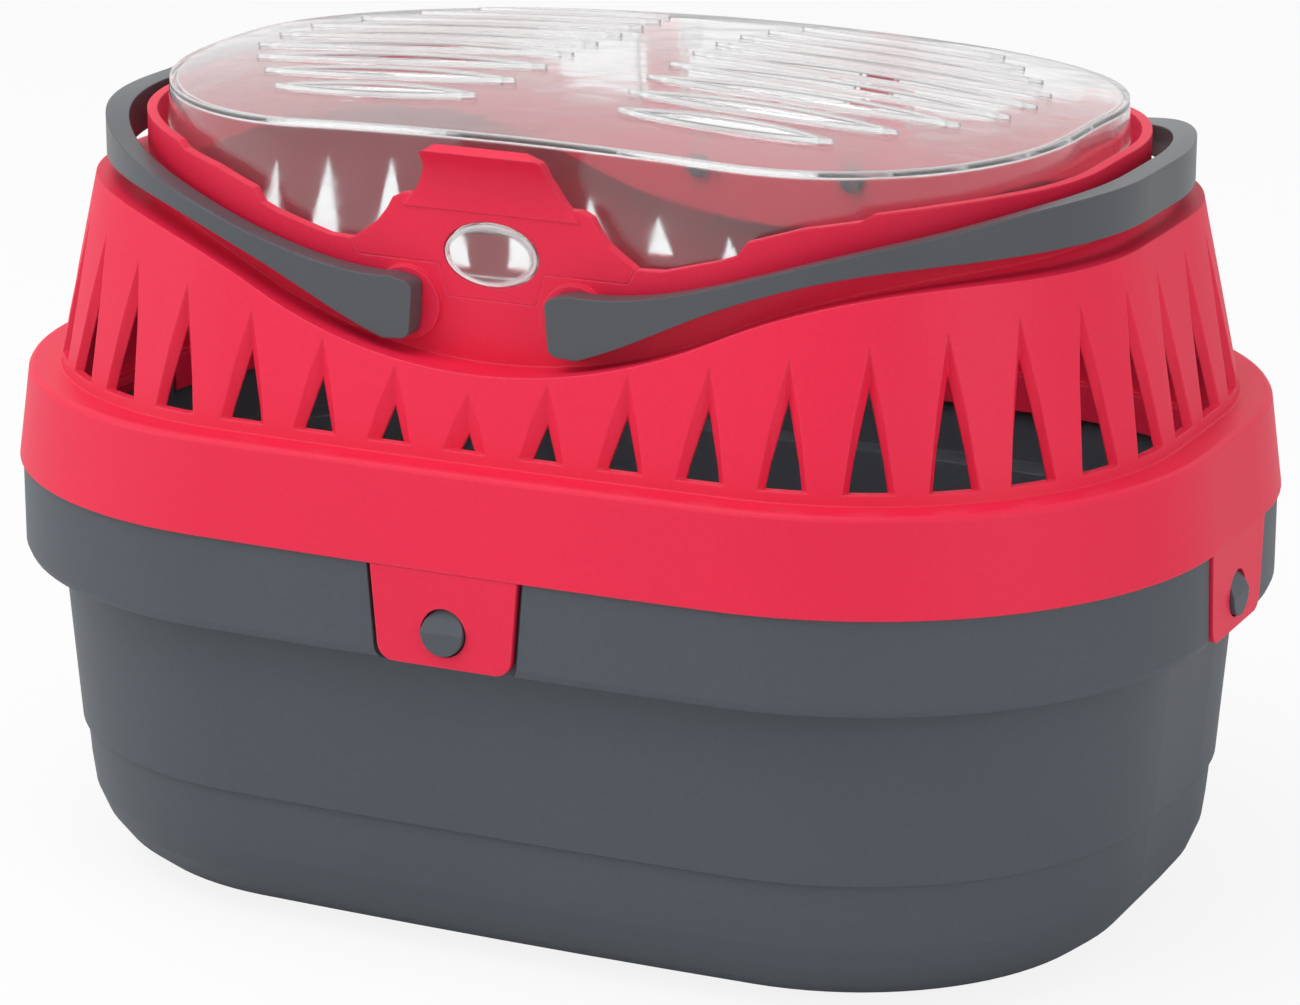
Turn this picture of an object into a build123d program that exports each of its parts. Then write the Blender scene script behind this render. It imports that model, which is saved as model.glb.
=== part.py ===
from build123d import *
import math
import os

os.makedirs("parts", exist_ok=True)

# Small pet carrier. Millimetres, Z up, front towards -Y, origin at the middle of the base.
# Every wall follows one plan oval; an "inset" is the distance inwards from it.

# Plan oval
half_length = 150.0
half_depth = 105.0
side_radius = 2000.0
corner_radius = 88.0

# Walls and fits
wall = 2.2
gap = 0.4
pin_play = 0.08

# Tub
floor_thick = 2.4
tub_top = 100.0
band_bottom = 77.0
band_inset = 0.8
band_edge = 2.4
tub_inset_top = 9.6
tub_inset_ridge = 13.0
tub_inset_base = 17.0
ridge_z = 34.0
ridge_step = 1.0
base_radius = 24.0

# Hood band and vent wall
hood_band_top = 122.5
hood_band_draft = 3.0
flange_drop = 7.0
foot_inset = 10.5
wall_slope = 0.215
saddle_low = 142.0
saddle_high = 168.3
saddle_run = 115.0
edge_chamfer = 1.2
wall_end_z = 178.0

# Vent flutes
flutes_per_quarter = 10.5
flute_half_width = 6.3
flute_fullness = 0.58
flute_base_z = 125.0
flute_tip_low = 138.4
flute_tip_rise = 24.6
flute_tip_index = 9.5

# Collar
collar_set_in_x = 32.0
collar_set_in_y = 25.0
collar_a = half_length - collar_set_in_x
collar_b = half_depth - collar_set_in_y
collar_side_radius = 1500.0
collar_corner = 0.85 * collar_b
collar_wall = 2.4
collar_top = 184.0
rear_edge_z = 171.1

# Handles
pivot_x = 21.0
pivot_z = 154.0
pin_radius = 3.0
pin_length = 6.0
boss_radius = 8.5
boss_height = 1.2
handle_thick = 5.5
handle_gap = 0.3
handle_standoff = 10.8
handle_reach = collar_a + handle_standoff
handle_corner = collar_corner + 8.0
handle_tip_radius = 2.4

# Latch tongue
root_z = 156.5
root_half = 11.0
shoulder_z = 163.8
notch_x = 35.4
lip_root = 176.2
lip_top = 190.5
lip_thick = 2.4
lip_reach = 6.5
window_z = 166.8
window_a = 11.4
window_b = 7.0
window_gap = 0.5

# Lid
lid_wall = 2.0
lid_clear = 0.7
lid_draft = 3.2
lid_low_z = 156.0
lid_overlap = 2.6
dome_z = 198.8
lid_draft_run = dome_z - lid_low_z + 5.2
dome_radius_x = 950.0
dome_radius_y = 466.0
slot_pitch = 13.0
slot_half_width = 2.6
slot_rim = 1.5
slot_rim_height = 0.9
slot_inner_x = (15.5, 15.5, 16.0, 17.5, 21.0)
slot_outer_x = (95.0, 93.5, 86.5, 77.0, 67.0)

# Hinge
hinge_set_in = 3.5
hinge_y = collar_b - hinge_set_in
hinge_z = 186.0
hinge_radius = 3.2
hinge_pin_radius = 1.8
lug_inner_x = 25.0
lug_width = 11.0
ear_width = 3.6

# Clip tabs
tab_top_half = 18.4
tab_bottom_half = 16.4
tab_bottom_z = 77.8
tab_corner = 4.0
tab_inset = 0.2
tab_thick = 2.3
tab_gap = 1.2
stud_radius = 5.2
stud_z = 86.0
stud_proud = 0.9


def oval_quarter(a, b, rf, r):
    """End points and arc centres of one quarter of a tangent-arc oval."""
    yc = b - rf + math.sqrt((rf - r) ** 2 - (a - r) ** 2)
    k = rf / (rf - r)
    join_x = (a - r) * k
    join_y = b - rf + (yc - (b - rf)) * k
    return yc, join_x, join_y


def oval(a, b, rf, r, z=0.0):
    """Oval face: flat-ish sides of radius rf, rounded corners r, short straight ends."""
    yc, jx, jy = oval_quarter(a, b, rf, r)
    turn = math.atan2(jy - yc, jx - (a - r)) / 2
    mx = a - r + r * math.cos(turn)
    my = yc + r * math.sin(turn)
    edges = [
        Line((a, -yc), (a, yc)),
        ThreePointArc((a, yc), (mx, my), (jx, jy)),
        ThreePointArc((jx, jy), (0, b), (-jx, jy)),
        ThreePointArc((-jx, jy), (-mx, my), (-a, yc)),
        Line((-a, yc), (-a, -yc)),
        ThreePointArc((-a, -yc), (-mx, -my), (-jx, -jy)),
        ThreePointArc((-jx, -jy), (0, -b), (jx, -jy)),
        ThreePointArc((jx, -jy), (mx, -my), (a, -yc)),
    ]
    return Pos(0, 0, z) * make_face(edges)


def main_oval(inset, z=0.0):
    """The carrier's plan oval moved inwards."""
    return oval(
        half_length - inset,
        half_depth - inset,
        side_radius - inset,
        corner_radius - inset,
        z,
    )


def collar_oval(inset, z=0.0):
    """The collar's plan oval moved inwards."""
    return oval(
        collar_a - inset,
        collar_b - inset,
        collar_side_radius - inset,
        collar_corner - inset,
        z,
    )


def prism(face, height):
    """A face in the XY plane raised straight up."""
    return extrude(face, amount=height, dir=(0, 0, 1))


def ring(inset, thick, z0, z1):
    """A vertical band that follows the plan oval."""
    outer = prism(main_oval(inset, z0), z1 - z0)
    inner = prism(main_oval(inset + thick, z0 - 1), z1 - z0 + 2)
    return outer - inner


def across(edges, y0, y1):
    """A side-view outline (x, z) run through the carrier from y0 to y1."""
    face = Plane.XZ * make_face(edges)
    return Pos(0, y1, 0) * extrude(face, amount=y1 - y0, dir=(0, -1, 0))


def closed(points):
    """Closed polyline."""
    return Polyline(*points, close=True)


def four_sides(piece):
    """A piece made for the front, also put on the back and, moved out, on both ends."""
    shift = half_length - half_depth
    return {
        "front": piece,
        "back": Rot(0, 0, 180) * piece,
        "left": Pos(-shift, 0, 0) * Rot(0, 0, -90) * piece,
        "right": Pos(shift, 0, 0) * Rot(0, 0, 90) * piece,
    }


def mirror_x(points):
    """Points with x >= 0 continued to the other side, from -x to +x."""
    left = [(-x, z) for x, z in reversed(points) if x > 0]
    return left + list(points)


# Clip tabs
def tab_outline(grow, z_top):
    """Trapezium of a clip tab, with rounded lower corners."""
    low = tab_bottom_z - grow
    face = make_face(
        closed(
            [
                (-tab_top_half - grow, z_top),
                (-tab_bottom_half - grow, low),
                (tab_bottom_half + grow, low),
                (tab_top_half + grow, z_top),
            ]
        )
    )
    corners = face.vertices().sort_by(Axis.Y)[:2]
    return fillet(corners, tab_corner)


def front_cut(face, y0, y1):
    """A side-view face run through the front only."""
    return Pos(0, y1, 0) * extrude(Plane.XZ * face, amount=y1 - y0, dir=(0, -1, 0))


front_y = -half_depth
tab_blank = ring(tab_inset, tab_thick, tab_bottom_z - 1, tub_top)
tab = tab_blank & front_cut(tab_outline(0, tub_top + 1), front_y - 2, front_y + 8)
tab_hole = Pos(0, front_y, stud_z) * Rot(90, 0, 0) * Cylinder(stud_radius + gap, 20)
tab -= tab_hole

# The end tabs are cut from the same band, turned to the ends
tab_end_cut = Rot(0, 0, 90) * (
    front_cut(tab_outline(0, tub_top + 1), front_y - 2, front_y + 8) - tab_hole
)
tab_end_cut = Pos(half_length - half_depth, 0, 0) * tab_end_cut
tab_right = tab_blank & tab_end_cut
clip_tabs = {
    "front": tab,
    "back": mirror(tab, Plane.XZ),
    "right": tab_right,
    "left": mirror(tab_right, Plane.YZ),
}

# Tub
pad_inset = band_inset + wall
pad_half = tab_top_half + tab_gap + 3.0


def tub_wall(grow, top_z):
    """Solid of the tub's straight wall between ridge and band, moved inwards by grow."""
    return loft(
        [
            main_oval(tub_inset_ridge + grow, ridge_z),
            main_oval(tub_inset_top + grow, top_z),
        ],
        ruled=True,
    )


def rounded_base(grow, angles):
    """Solid of the base: a large rounding, in short straight steps, up to the ridge."""
    lean = (tub_inset_base - tub_inset_ridge - ridge_step) / ridge_z
    centre_inset = tub_inset_ridge + ridge_step + lean * (ridge_z - base_radius) + base_radius
    radius = base_radius - grow
    rings = []
    for angle in angles:
        turn = math.radians(angle)
        inset = centre_inset - radius * math.cos(turn)
        rings.append(main_oval(inset, base_radius - radius * math.sin(turn)))
    rings.append(main_oval(tub_inset_ridge + ridge_step + grow, ridge_z))
    return loft(rings, ruled=True)


# Outside: stepped in at the ridge, then the rounding down to the flat base
tub = tub_wall(0, band_bottom + 1) + rounded_base(0, (90, 75, 60, 45, 30, 15, 0))
tub += loft(
    [
        main_oval(band_inset + band_edge, band_bottom),
        main_oval(band_inset + 0.3 * band_edge, band_bottom + 0.3 * band_edge),
        main_oval(band_inset, band_bottom + band_edge),
        main_oval(band_inset, tub_top),
    ],
    ruled=True,
)

# Inside
tub -= tub_wall(wall, band_bottom + wall + 1)
tub -= rounded_base(floor_thick, (90, 60, 30, 0))
tub -= prism(main_oval(pad_inset, band_bottom + wall), tub_top)

window = front_cut(tab_outline(tab_gap, tub_top + 1), front_y - 2, front_y + pad_inset)
pad_z0 = band_bottom
pad_cut = Box(2 * pad_half, 30, tub_top - 3 - pad_z0)
pad_cut = Pos(0, front_y, pad_z0 + (tub_top - 3 - pad_z0) / 2) * pad_cut
stud_depth = pad_inset + 0.5 + stud_proud
stud = Pos(0, front_y + pad_inset + 0.5 - stud_depth / 2, stud_z) * Rot(90, 0, 0) * Cylinder(
    stud_radius, stud_depth
)
bevel = Plane.YZ * make_face(
    closed(
        [
            (front_y - stud_proud - 1, stud_z),
            (front_y - stud_proud, stud_z),
            (front_y + 1.6, stud_z + stud_radius + 0.1),
            (front_y - stud_proud - 1, stud_z + stud_radius + 0.1),
        ]
    )
)
stud -= Pos(-10, 0, 0) * extrude(bevel, amount=20, dir=(1, 0, 0))

pad_ring = ring(pad_inset, wall, pad_z0, tub_top)
for cut in four_sides(pad_cut).values():
    tub += pad_ring & cut
for cut in four_sides(window).values():
    tub -= cut
for piece in four_sides(stud).values():
    tub += piece


# Hood
def vent_inset(z):
    """Inset of the vent wall's outer face at height z."""
    return foot_inset + wall_slope * (z - hood_band_top)


def vent_body(grow, z0):
    """Solid inside the vent wall's outer face, moved inwards by grow."""
    rings = [main_oval(vent_inset(z) + grow, z) for z in (z0, wall_end_z)]
    return loft(rings, ruled=True)


def above_saddle(drop):
    """Everything above the saddle line, lowered by drop: four tangent arcs, low at the middle."""
    low = saddle_low - drop
    high = saddle_high - drop
    run = saddle_run / 2
    rise = (high - low) / 2
    radius = (run * run + rise * rise) / (2 * rise)
    turn = math.asin(run / radius) / 2
    mid_x = radius * math.sin(turn)
    mid_z = radius * (1 - math.cos(turn))
    far = half_length + 20
    line = [
        ThreePointArc((-run, low + rise), (0, low), (run, low + rise)),
        ThreePointArc((run, low + rise), (2 * run - mid_x, high - mid_z), (2 * run, high)),
        Polyline((2 * run, high), (far, high), (far, 230), (-far, 230), (-far, high), (-2 * run, high)),
        ThreePointArc((-2 * run, high), (mid_x - 2 * run, high - mid_z), (-run, low + rise)),
    ]
    return across(line, -half_depth - 20, half_depth + 20)


band_lean = hood_band_draft / (hood_band_top - tub_top)
band_solid = loft(
    [
        main_oval(0, tub_top),
        main_oval(hood_band_draft - band_lean * edge_chamfer, hood_band_top - edge_chamfer),
        main_oval(hood_band_draft + 0.3 * edge_chamfer, hood_band_top - 0.3 * edge_chamfer),
        main_oval(hood_band_draft + edge_chamfer, hood_band_top),
    ],
    ruled=True,
)
hood = band_solid + (vent_body(0, hood_band_top - wall) - above_saddle(0))

# Collar, cut along its edge line; the edge differs between front and rear
collar_edge = [
    (41.5, 167.4),
    (55.0, 171.1),
    (59.0, 172.6),
    (61.2, 175.8),
    (72.6, 179.2),
    (84.2, 180.9),
    (86.4, 182.4),
    (98.0, 183.5),
    (107.0, collar_top),
]
front_edge = [
    (0.0, root_z),
    (root_half, root_z),
    (root_half + 2.0, shoulder_z),
    (notch_x - 2.0, shoulder_z),
    (notch_x, 167.2),
] + collar_edge
rear_edge = [(0.0, rear_edge_z)] + collar_edge[1:]


def above_edge(edge, y0, y1, lower=0.0):
    """Everything above an edge line given for x >= 0, between y0 and y1."""
    line = [(x, z - lower) for x, z in mirror_x(edge)]
    far = half_length
    end_z = line[-1][1]
    points = [(-far, end_z)] + line + [(far, end_z), (far, 240), (-far, 240)]
    return across(closed(points), y0, y1)


collar = prism(collar_oval(0, saddle_low - 8), collar_top - saddle_low + 8)
collar -= above_edge(front_edge, -half_depth, 0)
collar -= above_edge(rear_edge, 0, half_depth)
hood += collar

# Inside of the hood
neck_inset = pad_inset + wall
hood -= prism(main_oval(neck_inset, tub_top - 1), 1 + 2 * wall)
hood -= loft(
    [
        main_oval(wall + 0.4, tub_top + wall),
        main_oval(neck_inset, hood_band_top - wall),
    ],
    ruled=True,
)
hood -= vent_body(wall, hood_band_top - wall - 1) - above_saddle(wall)
hood -= prism(collar_oval(collar_wall, saddle_low - 20), 80)

# Locating flange inside the tub, interrupted at the clip pads
flange = ring(pad_inset + gap, wall - gap, tub_top - flange_drop, tub_top + 1)
flange_cut = Box(2 * pad_half + 2 * tab_gap, 40, 40)
for cut in four_sides(Pos(0, front_y, tub_top - 20) * flange_cut).values():
    flange -= cut
hood += flange


def flute_places():
    """Foot points, inward normals and index numbers of all the flutes."""
    a = half_length - foot_inset
    b = half_depth - foot_inset
    rf = side_radius - foot_inset
    r = corner_radius - foot_inset
    yc, jx, jy = oval_quarter(a, b, rf, r)
    side_turn = math.asin(jx / rf)
    side_run = rf * side_turn
    corner_turn = math.pi / 2 - side_turn
    corner_run = r * corner_turn
    pitch = (side_run + corner_run + yc) / flutes_per_quarter
    places = []
    for index in range(int(flutes_per_quarter) + 1):
        run = index * pitch
        if run < side_run:
            turn = run / rf
            x = rf * math.sin(turn)
            y = b - rf + rf * math.cos(turn)
        elif run < side_run + corner_run:
            turn = side_turn + (run - side_run) / r
            x = a - r + r * math.sin(turn)
            y = yc + r * math.cos(turn)
        else:
            turn = math.pi / 2
            x = a
            y = yc - (run - side_run - corner_run)
        nx = math.sin(turn)
        ny = math.cos(turn)
        for sx in (1, -1):
            for sy in (1, -1):
                if index > 0 or sx > 0:
                    places.append((index, sx * x, sy * y, -sx * nx, -sy * ny))
    return places


def flute(index, x, y, nx, ny):
    """Upright cutter, in plan a pointed arch: as the wall leans in, it opens as an arch in the wall too."""
    rise = math.sin(math.pi / 2 * min(index / flute_tip_index, 1.0))
    depth = vent_inset(flute_tip_low + flute_tip_rise * rise) - foot_inset
    w = flute_half_width
    half = flute_fullness * depth
    right = [(w / 2, half), (w, 0), (w + 0.5, -3)]
    left = [(-x, y) for x, y in reversed(right)]
    outline = closed(left + [(0, depth)] + right)
    frame = Plane(origin=(x, y, flute_base_z), x_dir=(ny, -nx, 0), z_dir=(0, 0, 1))
    return extrude(frame * make_face(outline), amount=50, dir=(0, 0, 1))


hood -= [flute(*place) for place in flute_places()]

# Pivot bosses and their holes
for sx in (-1, 1):
    for sy in (-1, 1):
        boss_y = sy * (collar_b + boss_height - (collar_wall + boss_height) / 2)
        turned = Pos(sx * pivot_x, boss_y, pivot_z) * Rot(90, 0, 0)
        hood += turned * Cylinder(boss_radius, collar_wall + boss_height)
for sx in (-1, 1):
    for sy in (-1, 1):
        turned = Pos(sx * pivot_x, sy * collar_b, pivot_z) * Rot(90, 0, 0)
        hood -= turned * Cylinder(pin_radius + pin_play, 20)

# Hinge lugs at the rear
for sx in (-1, 1):
    x = sx * (lug_inner_x + lug_width / 2)
    base_z = rear_edge_z - 2
    stem = Box(lug_width, collar_wall, hinge_z - base_z)
    stem = Pos(x, collar_b - collar_wall / 2 - 0.1, (hinge_z + base_z) / 2) * stem
    eye = Pos(x, hinge_y, hinge_z) * Rot(0, 90, 0) * Cylinder(hinge_radius, lug_width)
    bore = Pos(x, hinge_y, hinge_z) * Rot(0, 90, 0) * Cylinder(
        hinge_pin_radius + pin_play, lug_width + 2
    )
    hood += stem
    hood += eye
    hood -= bore

# Latch tongue
tongue_edge = [
    (0.0, root_z),
    (root_half, root_z),
    (root_half + 2.0, shoulder_z),
    (notch_x - 2.0, shoulder_z),
    (notch_x, 167.2),
    (32.2, 169.4),
    (28.6, 172.0),
    (26.2, 175.0),
    (24.6, 177.8),
    (22.0, 179.0),
    (0.0, 179.0),
]
tongue_line = [(-x, z) for x, z in reversed(tongue_edge) if x > 0]
tongue_line = tongue_line + tongue_edge[:-1]
collar_front = prism(collar_oval(0, root_z - 5), 40) - prism(
    collar_oval(collar_wall, root_z - 6), 42
)
latch = collar_front & across(closed(tongue_line), -half_depth, 0)
window_face = Pos(0, window_z) * Ellipse(window_a + window_gap, window_b + window_gap)
latch -= front_cut(window_face, -half_depth, 0)

# Thumb lip: starts a little proud of the tongue's face and curves outwards
lip_out = -collar_b - 0.3
lip_in = lip_out + lip_thick - 0.4
lip_end = -collar_b - lip_reach
lip_profile = Plane.YZ * make_face(
    [
        ThreePointArc((lip_out, lip_root), (lip_out - 1.6, lip_root + 8.5), (lip_end, lip_top)),
        Line((lip_end, lip_top), (lip_end + 1.9, lip_top + 1.5)),
        ThreePointArc((lip_end + 1.9, lip_top + 1.5), (lip_in - 1.4, lip_root + 8.9), (lip_in, lip_root)),
        Line((lip_in, lip_root), (lip_out, lip_root)),
    ]
)
lip = Pos(-30, 0, 0) * extrude(lip_profile, amount=60, dir=(1, 0, 0))
lip_face = make_face(
    closed(
        [
            (-22.0, 176.2),
            (-18.0, 181.0),
            (-15.4, 186.0),
            (-14.8, 190.0),
            (-11.0, 192.2),
            (11.0, 192.2),
            (14.8, 190.0),
            (15.4, 186.0),
            (18.0, 181.0),
            (22.0, 176.2),
        ]
    )
)
lip = lip & front_cut(lip_face, -half_depth, 0)
latch += lip

# Lid
lid_edge = [
    (0.0, 158.0),
    (14.0, 158.0),
    (16.5, 164.8),
    (41.5, 164.8),
    (55.0, 171.1 - lid_overlap),
    (72.6, 179.2 - 1.6 * lid_overlap),
    (86.4, 182.4 - 1.4 * lid_overlap),
    (107.0, collar_top - lid_overlap),
]
lid_rear_edge = [(0.0, rear_edge_z - lid_overlap)] + lid_edge[4:]


def lid_body(grow):
    """Solid of the lid: tapered oval skirt under a dome, moved inwards by grow."""
    low = collar_wall + lid_clear + grow
    skirt = loft(
        [collar_oval(low, lid_low_z), collar_oval(low + lid_draft, lid_low_z + lid_draft_run)],
        ruled=True,
    )
    sag = 90.0**2 / (2 * dome_radius_y)
    top = dome_z - grow
    section = Plane.YZ * make_face(
        [
            ThreePointArc((-90, top - sag), (0, top), (90, top - sag)),
            Polyline((90, top - sag), (90, 120), (-90, 120), (-90, top - sag)),
        ]
    )
    axis = Axis((0, 0, top - dome_radius_x), (0, 1, 0))
    half = revolve(section, axis, 10)
    dome = half + mirror(half, Plane.YZ)
    return skirt & dome


lid = lid_body(0)
lid -= lid_body(lid_wall)
lid -= prism(collar_oval(collar_wall + lid_clear + lid_wall, lid_low_z - 1), 6)


def lens(x0, x1, y, grow):
    """Pointed slot outline between x0 and x1."""
    mid = (x0 + x1) / 2
    w = slot_half_width + grow
    tip = grow * 2.2
    return make_face(
        [
            ThreePointArc((x0 - tip, y), (mid, y + w), (x1 + tip, y)),
            ThreePointArc((x1 + tip, y), (mid, y - w), (x0 - tip, y)),
        ]
    )


rim_shell = lid_body(-slot_rim_height) - lid_body(0.5)
rims = []
slots = []
for row in range(5):
    outline = (slot_inner_x[row], slot_outer_x[row], row * slot_pitch)
    rim = rim_shell & prism(Pos(0, 0, 180) * lens(*outline, slot_rim), 30)
    slot = prism(Pos(0, 0, 180) * lens(*outline, 0), 30)
    rims += [rim, mirror(rim, Plane.YZ)]
    slots += [slot, mirror(slot, Plane.YZ)]
    if row > 0:
        rims += [mirror(piece, Plane.XZ) for piece in rims[-2:]]
        slots += [mirror(piece, Plane.XZ) for piece in slots[-2:]]
for rim in rims:
    lid += rim
lid -= slots

for edge, y0, y1 in ((lid_edge, -half_depth, 0.0), (lid_rear_edge, 0.0, half_depth)):
    line = mirror_x(edge)
    far = half_length
    end_z = line[-1][1]
    points = [(-far, end_z)] + line + [(far, end_z), (far, 100), (-far, 100)]
    lid -= across(closed(points), y0, y1)

boss_back = -collar_b + collar_wall + lid_clear + 1.0
boss_face = Pos(0, window_z) * Ellipse(window_a, window_b)
boss_top = Pos(0, window_z) * Ellipse(window_a - 0.8, window_b - 0.8)
lid += front_cut(boss_face, -collar_b - 0.2, boss_back)
lid += front_cut(boss_top, -collar_b - 0.9, boss_back)

for sx in (-1, 1):
    x = sx * (lug_inner_x + lug_width / 2)
    notch_top = hinge_z + hinge_radius + 2 * gap
    notch = Box(lug_width + 2 * gap, 14, notch_top - 150)
    lid -= Pos(x, hinge_y, (notch_top + 150) / 2) * notch
    ear_x = sx * (lug_inner_x - gap - ear_width / 2)
    ear_eye = Pos(ear_x, hinge_y, hinge_z) * Rot(0, 90, 0) * Cylinder(
        hinge_radius - 0.3, ear_width
    )
    web = Box(ear_width, 5, 2 * hinge_radius - 0.8)
    web = Pos(ear_x, hinge_y - 2.5, hinge_z) * web
    pin_x = sx * (lug_inner_x - gap + 4.5)
    pin = Pos(pin_x, hinge_y, hinge_z) * Rot(0, 90, 0) * Cylinder(hinge_pin_radius, 10)
    lid += ear_eye + web
    lid += pin

# Handles
handle_b = collar_b + boss_height + handle_gap + handle_thick


def handle_right():
    """Right-hand carrying handle with its two pivot pins, folded down."""
    side_r = collar_side_radius
    corner = handle_corner
    outer = oval(handle_reach, handle_b, side_r, corner, 130)
    inner = oval(
        handle_reach - handle_thick,
        handle_b - handle_thick,
        side_r - handle_thick,
        corner - handle_thick,
        130,
    )
    bail = prism(outer, 80) - prism(inner, 80)
    # Side outline from the pivot: a round-cornered tip, then a bow that thins towards the end
    reach = handle_reach - pivot_x
    mid = reach / 2
    low_line = [(3, -7.1), (19, -0.4), (33, 6.3), (mid - 7.9, 11.4), (mid + 9.1, 16.1)]
    low_line += [(reach - 21.8, 18.7), (reach + 3.2, 19.3)]
    high_line = [(reach + 3.2, 29.2), (reach - 7.8, 29), (reach - 25.8, 25.3)]
    high_line += [(mid + 13.1, 21.8), (mid - 2.9, 17.4), (33, 11.9), (17, 8.2), (1, 7.4)]
    under = Spline(*low_line)
    end = Line(low_line[-1], high_line[0])
    over = Spline(*high_line)
    tip = Polyline(high_line[-1], (-4.6, 6.2), (-3.6, -6.6), low_line[0])
    side = make_face([under, end, over, tip])
    corners = side.vertices().sort_by(Axis.X)[:2]
    side = fillet(corners, handle_tip_radius)
    side = extrude(Plane.XZ * side, amount=2 * half_depth, dir=(0, -1, 0))
    bail = bail & Pos(pivot_x, half_depth, pivot_z) * side
    for sy in (-1, 1):
        y = sy * (handle_b - handle_thick - pin_length / 2 + 0.5)
        pin = Pos(pivot_x, y, pivot_z) * Rot(90, 0, 0) * Cylinder(pin_radius, pin_length + 1)
        bail += pin
    return bail


handle_r = handle_right()

nodes = {
    "tub": tub,
    "hood": hood,
    "latch_tongue": latch,
    "lid": lid,
    "handle_right": handle_r,
    "handle_left": mirror(handle_r, Plane.YZ),
}
for side, piece in clip_tabs.items():
    nodes["clip_tab_" + side] = piece

for name, shape in nodes.items():
    export_step(shape, "parts/" + name + ".step")
    print(name, len(shape.solids()), round(shape.volume), shape.is_valid)
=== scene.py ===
# %% [markdown]
# # A small pet carrier in moulded plastic
# This lesson dresses a finished CAD model. The carrier is five mouldings: a dark grey tub, a red hood
# with a fluted vent wall, a clear domed lid and two grey carrying handles. The CAD solids already have
# the right shape, so Blender's work here is the camera, the light and the look of each plastic.

import math

import bmesh
import bpy
from mathutils import Matrix, Vector

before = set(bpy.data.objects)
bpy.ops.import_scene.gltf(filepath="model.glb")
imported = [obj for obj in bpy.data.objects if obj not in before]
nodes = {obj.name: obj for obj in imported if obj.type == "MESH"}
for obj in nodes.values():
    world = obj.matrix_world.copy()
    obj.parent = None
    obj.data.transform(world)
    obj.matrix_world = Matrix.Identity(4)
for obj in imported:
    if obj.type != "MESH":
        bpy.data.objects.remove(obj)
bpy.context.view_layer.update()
scene = bpy.context.scene

# %% [markdown]
# ## The camera first
# A product photograph is taken with a long lens from some way off, so that the oval doesn't bulge. The
# camera here looks from the front right, a little above the rim. Setting it first means that every
# later choice is judged from the view that matters most.

# %% Camera
camera_azimuth = math.radians(25.17)
camera_elevation = math.radians(16.71)
camera_roll = math.radians(0.13)
camera_distance = 1.1464
camera_side_step = 0.00136
look_height = 0.088
camera_lens = 131.65
sensor_width = 36.0

back = Vector(
    (
        math.sin(camera_azimuth) * math.cos(camera_elevation),
        -math.cos(camera_azimuth) * math.cos(camera_elevation),
        math.sin(camera_elevation),
    )
)
side = (-back).cross(Vector((0, 0, 1))).normalized()
over = side.cross(-back)
camera_x = side * math.cos(camera_roll) + over * math.sin(camera_roll)
camera_y = over * math.cos(camera_roll) - side * math.sin(camera_roll)

camera_data = bpy.data.cameras.new("product_camera")
camera_data.lens = camera_lens
camera_data.sensor_width = sensor_width
camera_data.clip_start = 0.05
camera_data.clip_end = 50.0
camera = bpy.data.objects.new("product_camera", camera_data)
scene.collection.objects.link(camera)
turn = Matrix((camera_x, camera_y, back)).transposed().to_4x4()
look_at = camera_x * camera_side_step + Vector((0, 0, look_height))
camera.matrix_world = Matrix.Translation(look_at + back * camera_distance) @ turn
scene.camera = camera
print("camera stands at", [round(v, 3) for v in camera.matrix_world.translation])

# %% [markdown]
# ## A helper for node trees
# Materials are easier to read when each node is made, set and linked in one line. This helper makes a
# node, gives values to its sockets by name, and links any value that is itself a socket.


# %% Node helper
BEVEL_SAMPLES = 6


def add_node(tree, kind, settings=None, **sockets):
    """Makes a node; a socket value may be a number, a colour or another node's output."""
    node = tree.nodes.new(kind)
    for key, value in (settings or {}).items():
        setattr(node, key, value)
    for key, value in sockets.items():
        socket = node.inputs[key.replace("_", " ")]
        if isinstance(value, bpy.types.NodeSocket):
            tree.links.new(value, socket)
        else:
            socket.default_value = value
    return node


# %% [markdown]
# Three small patterns come back in several materials: a value moved from one range to another, a test for
# some kinds of light ray, and a measure of how near an edge is, which compares the rounded normal that the
# Bevel node gives with the plain one. It is 1 on a flat and falls towards an edge.


# %% Pattern helpers
def ranged(tree, value, **limits):
    """A Map Range node with the named limits set."""
    return add_node(tree, "ShaderNodeMapRange", Value=value, **limits).outputs["Result"]


def maths(tree, operation, *values):
    """A Math node on two or three values, each a number or another node's output."""
    node = add_node(tree, "ShaderNodeMath", {"operation": operation})
    for socket, value in zip(node.inputs, values):
        if isinstance(value, bpy.types.NodeSocket):
            tree.links.new(value, socket)
        else:
            socket.default_value = value
    return node.outputs["Value"]


def any_ray(tree, *kinds):
    """1 for rays of the named kinds, such as Camera, and 0 for all others."""
    path = add_node(tree, "ShaderNodeLightPath")
    found = path.outputs["Is " + kinds[0] + " Ray"]
    for kind in kinds[1:]:
        found = maths(tree, "MAXIMUM", found, path.outputs["Is " + kind + " Ray"])
    return found


def flatness(tree, radius):
    """1 on a flat surface, less within radius of an edge."""
    wide = add_node(tree, "ShaderNodeBevel", {"samples": BEVEL_SAMPLES}, Radius=radius)
    plain = add_node(tree, "ShaderNodeNewGeometry")
    along = add_node(tree, "ShaderNodeVectorMath", {"operation": "DOT_PRODUCT"})
    tree.links.new(wide.outputs["Normal"], along.inputs[0])
    tree.links.new(plain.outputs["Normal"], along.inputs[1])
    return along.outputs["Value"]


print("helpers: add_node, ranged, maths, any_ray, flatness")

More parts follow.
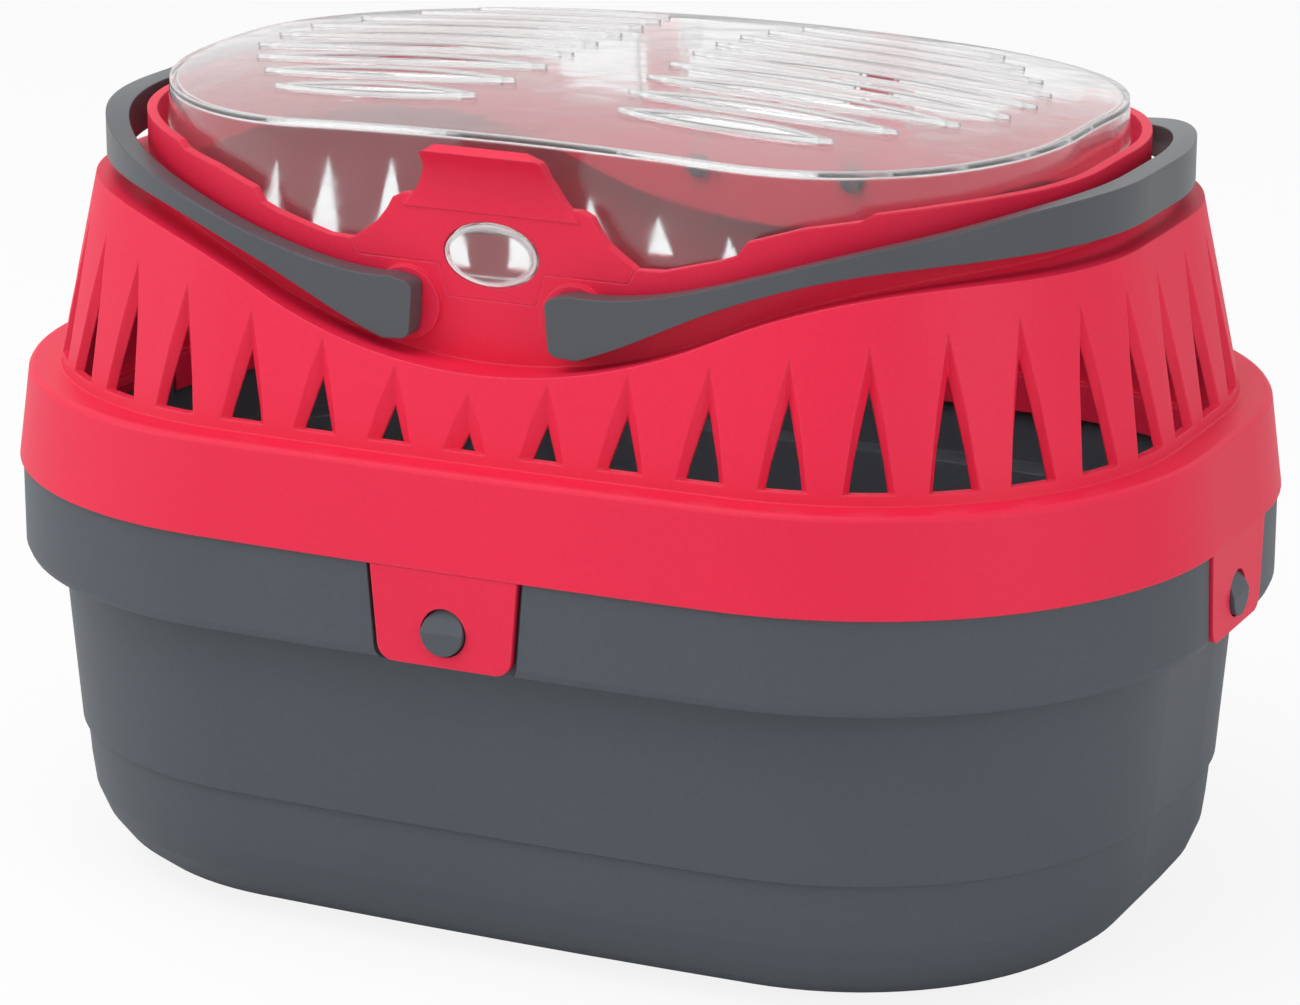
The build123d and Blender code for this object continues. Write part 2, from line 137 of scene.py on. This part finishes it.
# %% [markdown]
# ## What moulded plastic looks like close up
# Polypropylene has a fine spark-eroded grain, a little unevenness of colour from the flow of the melt,
# and edges that catch the light because no tool cuts a perfectly sharp corner; the edges also get a
# lighter colour, part light edge wear and part painted highlight. The grain, the tone and the edges are
# the same effect on red and grey alike, so they are one node group with its own inputs.

# %% Shared group: moulded surface
moulded = bpy.data.node_groups.new("moulded_surface", "ShaderNodeTree")
for name, kind, default in (
    ("Colour", "NodeSocketColor", (0.5, 0.5, 0.5, 1)),
    ("Edge Colour", "NodeSocketColor", (0.7, 0.7, 0.7, 1)),
    ("Roughness", "NodeSocketFloat", 0.4),
    ("Grain Scale", "NodeSocketFloat", 1800.0),
    ("Grain Depth", "NodeSocketFloat", 0.08),
    ("Edge Radius", "NodeSocketFloat", 0.0006),
    ("Unevenness", "NodeSocketFloat", 0.06),
):
    item = moulded.interface.new_socket(name=name, in_out="INPUT", socket_type=kind)
    item.default_value = default
for name, kind in (
    ("Colour", "NodeSocketColor"),
    ("Roughness", "NodeSocketFloat"),
    ("Normal", "NodeSocketVector"),
):
    moulded.interface.new_socket(name=name, in_out="OUTPUT", socket_type=kind)
given = moulded.nodes.new("NodeGroupInput")
result = moulded.nodes.new("NodeGroupOutput")
place = add_node(moulded, "ShaderNodeTexCoord")
flow = add_node(
    moulded,
    "ShaderNodeTexNoise",
    Vector=place.outputs["Object"],
    Scale=14.0,
    Detail=3.0,
    Roughness=0.5,
)
speck = add_node(
    moulded,
    "ShaderNodeTexNoise",
    Vector=place.outputs["Object"],
    Scale=900.0,
    Detail=2.0,
    Roughness=0.6,
)
grain = add_node(
    moulded,
    "ShaderNodeTexNoise",
    Vector=place.outputs["Object"],
    Scale=given.outputs["Grain Scale"],
    Detail=2.0,
    Roughness=0.55,
)
print("group inputs:", [s.name for s in given.outputs if s.name])

# %% Shared group: edges with wear and painted highlight, and tone
edge_width = 0.0009
shine_spread = 0.12

rounded = add_node(
    moulded, "ShaderNodeBevel", {"samples": BEVEL_SAMPLES}, Radius=given.outputs["Edge Radius"]
)
edge = ranged(moulded, flatness(moulded, edge_width), From_Min=0.985, From_Max=0.86, To_Max=0.5)
broken_edge_wear_and_highlight = maths(moulded, "MULTIPLY", edge, speck.outputs["Fac"])

tone = maths(moulded, "ADD", flow.outputs["Fac"], speck.outputs["Fac"])
tone_step = ranged(moulded, tone, From_Min=0.7, From_Max=1.3, To_Min=-1.0)
spread = maths(moulded, "MULTIPLY_ADD", tone_step, given.outputs["Unevenness"], 1.0)
toned = add_node(
    moulded, "ShaderNodeHueSaturation", Value=spread, Color=given.outputs["Colour"]
)
# A lighter edge colour is mixed in along the speckled edge mask: part edge wear, part painted highlight.
edge_wear_and_painted_highlight = add_node(moulded, "ShaderNodeMix", {"data_type": "RGBA"})
moulded.links.new(broken_edge_wear_and_highlight, edge_wear_and_painted_highlight.inputs["Factor"])
moulded.links.new(toned.outputs["Color"], edge_wear_and_painted_highlight.inputs[6])
moulded.links.new(given.outputs["Edge Colour"], edge_wear_and_painted_highlight.inputs[7])
moulded.links.new(edge_wear_and_painted_highlight.outputs[2], result.inputs["Colour"])

shine = maths(
    moulded, "MULTIPLY_ADD", flow.outputs["Fac"], shine_spread, given.outputs["Roughness"]
)
moulded.links.new(shine, result.inputs["Roughness"])
pits = add_node(
    moulded,
    "ShaderNodeBump",
    Strength=given.outputs["Grain Depth"],
    Distance=0.0002,
    Height=grain.outputs["Fac"],
    Normal=rounded.outputs["Normal"],
)
moulded.links.new(pits.outputs["Normal"], result.inputs["Normal"])
print("moulded_surface has", len(moulded.nodes), "nodes")


# %% [markdown]
# ## One plastic at a time
# Each plastic is a Principled BSDF that takes colour, roughness and normal from the shared group. What is
# the same all over, such as the index of refraction, is set on the shader itself.


# %% Moulded plastic material
def moulded_plastic(name, colour, edge_wear_and_highlight_colour, roughness, grain_scale, grain_depth, unevenness, coat=0.0):
    """Principled BSDF fed by the shared group; what is the same all over is set on the shader."""
    material = bpy.data.materials.new(name)
    material.use_nodes = True
    tree = material.node_tree
    shader = tree.nodes["Principled BSDF"]
    surface = tree.nodes.new("ShaderNodeGroup")
    surface.node_tree = moulded
    for key, value in (
        ("Colour", (*colour, 1)),
        ("Edge Colour", (*edge_wear_and_highlight_colour, 1)),
        ("Roughness", roughness),
        ("Grain Scale", grain_scale),
        ("Grain Depth", grain_depth),
        ("Unevenness", unevenness),
    ):
        surface.inputs[key].default_value = value
    for output, key in (("Colour", "Base Color"), ("Roughness", "Roughness"), ("Normal", "Normal")):
        tree.links.new(surface.outputs[output], shader.inputs[key])
    shader.inputs["IOR"].default_value = 1.49
    shader.inputs["Specular IOR Level"].default_value = 0.3
    shader.inputs["Coat Weight"].default_value = coat
    shader.inputs["Coat Roughness"].default_value = 0.35
    return material


# Each edge colour is a lighter shade of its plastic, standing for edge wear and a painted highlight.
hood_red = moulded_plastic(
    "hood_red_plastic",
    colour=(0.73, 0.014, 0.056),
    edge_wear_and_highlight_colour=(0.86, 0.09, 0.14),
    roughness=0.44,
    grain_scale=1500.0,
    grain_depth=0.10,
    unevenness=0.04,
)
tub_grey = moulded_plastic(
    "tub_grey_plastic",
    colour=(0.067, 0.078, 0.092),
    edge_wear_and_highlight_colour=(0.125, 0.14, 0.155),
    roughness=0.45,
    grain_scale=1100.0,
    grain_depth=0.16,
    unevenness=0.06,
)
handle_grey = moulded_plastic(
    "handle_grey_plastic",
    colour=(0.070, 0.077, 0.087),
    edge_wear_and_highlight_colour=(0.14, 0.15, 0.16),
    roughness=0.30,
    grain_scale=1900.0,
    grain_depth=0.06,
    unevenness=0.04,
    coat=0.1,
)
print("moulded plastics:", hood_red.name, tub_grey.name, handle_grey.name)

# %% [markdown]
# ## The clear lid
# The lid is clear polystyrene, about two millimetres thick, so real refraction through the solid does most
# of the work. A very low relief keeps its reflections from looking like plate glass, as a moulded sheet
# is never perfectly flat, and fine hairlines from cleaning make small patches a little less glossy. Shadow
# rays pass almost freely, since the lamps have to light the inside of the carrier through the lid.

# %% Clear plastic material
clear = bpy.data.materials.new("lid_clear_plastic")
clear.use_nodes = True
tree = clear.node_tree
shader = tree.nodes["Principled BSDF"]
place = add_node(tree, "ShaderNodeTexCoord")
swell = add_node(
    tree,
    "ShaderNodeTexNoise",
    Vector=place.outputs["Object"],
    Scale=38.0,
    Detail=2.0,
    Roughness=0.5,
)
stretch = add_node(
    tree,
    "ShaderNodeMapping",
    Vector=place.outputs["Object"],
    Rotation=(0.0, 0.0, 0.5),
    Scale=(40.0, 900.0, 40.0),
)
hairline = add_node(
    tree,
    "ShaderNodeTexNoise",
    Vector=stretch.outputs["Vector"],
    Scale=1.0,
    Detail=3.0,
    Roughness=0.7,
)
haze = ranged(tree, hairline.outputs["Fac"], From_Min=0.45, From_Max=0.8, To_Min=0.03, To_Max=0.16)
soft_edge = add_node(tree, "ShaderNodeBevel", {"samples": BEVEL_SAMPLES}, Radius=0.0008)
relief = add_node(
    tree,
    "ShaderNodeBump",
    Strength=0.35,
    Distance=0.0006,
    Height=swell.outputs["Fac"],
    Normal=soft_edge.outputs["Normal"],
)
tree.links.new(haze, shader.inputs["Roughness"])
tree.links.new(relief.outputs["Normal"], shader.inputs["Normal"])
shader.inputs["Base Color"].default_value = (0.97, 0.975, 0.98, 1)

# %% Clear plastic: painted highlight on the folds, free shadow rays
fold_width = 0.0016
clear_share, fold_highlight_share = 0.97, 0.35
shadow_share = 0.15

# Less transmission along the folds lets the white base colour show there, a painted highlight on the lid's
# edges.
painted_fold_highlight = ranged(
    tree,
    flatness(tree, fold_width),
    From_Min=0.99,
    From_Max=0.80,
    To_Min=clear_share,
    To_Max=fold_highlight_share,
)
tree.links.new(painted_fold_highlight, shader.inputs["Transmission Weight"])
shade = ranged(tree, any_ray(tree, "Shadow"), To_Min=1.0, To_Max=shadow_share)
tree.links.new(shade, shader.inputs["Alpha"])
shader.inputs["IOR"].default_value = 1.5
print("clear plastic:", clear.name)


# %% [markdown]
# ## Putting the plastics on
# A CAD node keeps its mesh. Its look is changed by giving its material slot another material.


# %% Dress the CAD nodes
def dress(node_name, material):
    node = nodes[node_name]
    node.data.materials.clear()
    node.data.materials.append(material)


dress("tub", tub_grey)
dress("lid", clear)
for name in ("hood", "latch_tongue", "clip_tab_front", "clip_tab_back", "clip_tab_left", "clip_tab_right"):
    dress(name, hood_red)
for name in ("handle_left", "handle_right"):
    dress(name, handle_grey)
print("dressed", len(nodes), "nodes")

# %% [markdown]
# ## Floor and soft light
# The photograph has a plain white ground. The floor is a wide pale sheet whose camera-side look is mostly
# plain white, so that it meets the backdrop without a horizon, and still darkens where the carrier shades
# it. Large lamps to the left, right and above keep the shadows soft and the plastic's colours plain.

# %% Floor
floor_mesh = bpy.data.meshes.new("studio_floor")
sheet = bmesh.new()
bmesh.ops.create_grid(sheet, x_segments=2, y_segments=2, size=6.0)
sheet.to_mesh(floor_mesh)
sheet.free()
floor = bpy.data.objects.new("studio_floor", floor_mesh)
scene.collection.objects.link(floor)

paper = bpy.data.materials.new("floor_paper")
paper.use_nodes = True
tree = paper.node_tree
shader = tree.nodes["Principled BSDF"]
shader.inputs["Base Color"].default_value = (0.86, 0.86, 0.86, 1)
shader.inputs["Roughness"].default_value = 0.9
glow = add_node(tree, "ShaderNodeEmission", Strength=1.0, Color=(1, 1, 1, 1))
glow_share = 0.86
share = maths(tree, "MULTIPLY", any_ray(tree, "Camera", "Transmission"), glow_share)
blend = add_node(tree, "ShaderNodeMixShader", Fac=share)
tree.links.new(shader.outputs["BSDF"], blend.inputs[1])
tree.links.new(glow.outputs["Emission"], blend.inputs[2])
tree.links.new(blend.outputs["Shader"], tree.nodes["Material Output"].inputs["Surface"])
floor.data.materials.append(paper)
print("floor is", round(floor.dimensions.x, 1), "m wide")

# %% World
world = bpy.data.worlds.new("studio_world")
scene.world = world
world.use_nodes = True
tree = world.node_tree
tree.nodes.clear()
lit = add_node(tree, "ShaderNodeBackground", Strength=0.55, Color=(1, 1, 1, 1))
white = add_node(tree, "ShaderNodeBackground", Strength=1.0, Color=(1, 1, 1, 1))
mixed = add_node(
    tree, "ShaderNodeMixShader", Fac=any_ray(tree, "Camera", "Glossy", "Transmission")
)
tree.links.new(lit.outputs["Background"], mixed.inputs[1])
tree.links.new(white.outputs["Background"], mixed.inputs[2])
sky = add_node(tree, "ShaderNodeOutputWorld")
tree.links.new(mixed.outputs["Shader"], sky.inputs["Surface"])
print("world nodes:", len(tree.nodes))


# %% Lamps
def soft_lamp(name, place, aim, size, watts):
    """A square area lamp that points at aim."""
    data = bpy.data.lights.new(name, "AREA")
    data.size = size
    data.energy = watts
    lamp = bpy.data.objects.new(name, data)
    scene.collection.objects.link(lamp)
    direction = Vector(aim) - Vector(place)
    lamp.matrix_world = Matrix.Translation(place) @ direction.to_track_quat("-Z", "Y").to_matrix().to_4x4()
    return lamp


lamp_aim = (0, 0, 0.1)
soft_lamp("lamp_above", (-0.3, -0.5, 1.5), lamp_aim, size=1.2, watts=13.0)
soft_lamp("lamp_left", (-1.4, -1.0, 0.7), lamp_aim, size=0.9, watts=7.0)
soft_lamp("lamp_right", (1.5, -0.6, 0.6), lamp_aim, size=0.9, watts=6.0)
scene.view_settings.view_transform = "Standard"
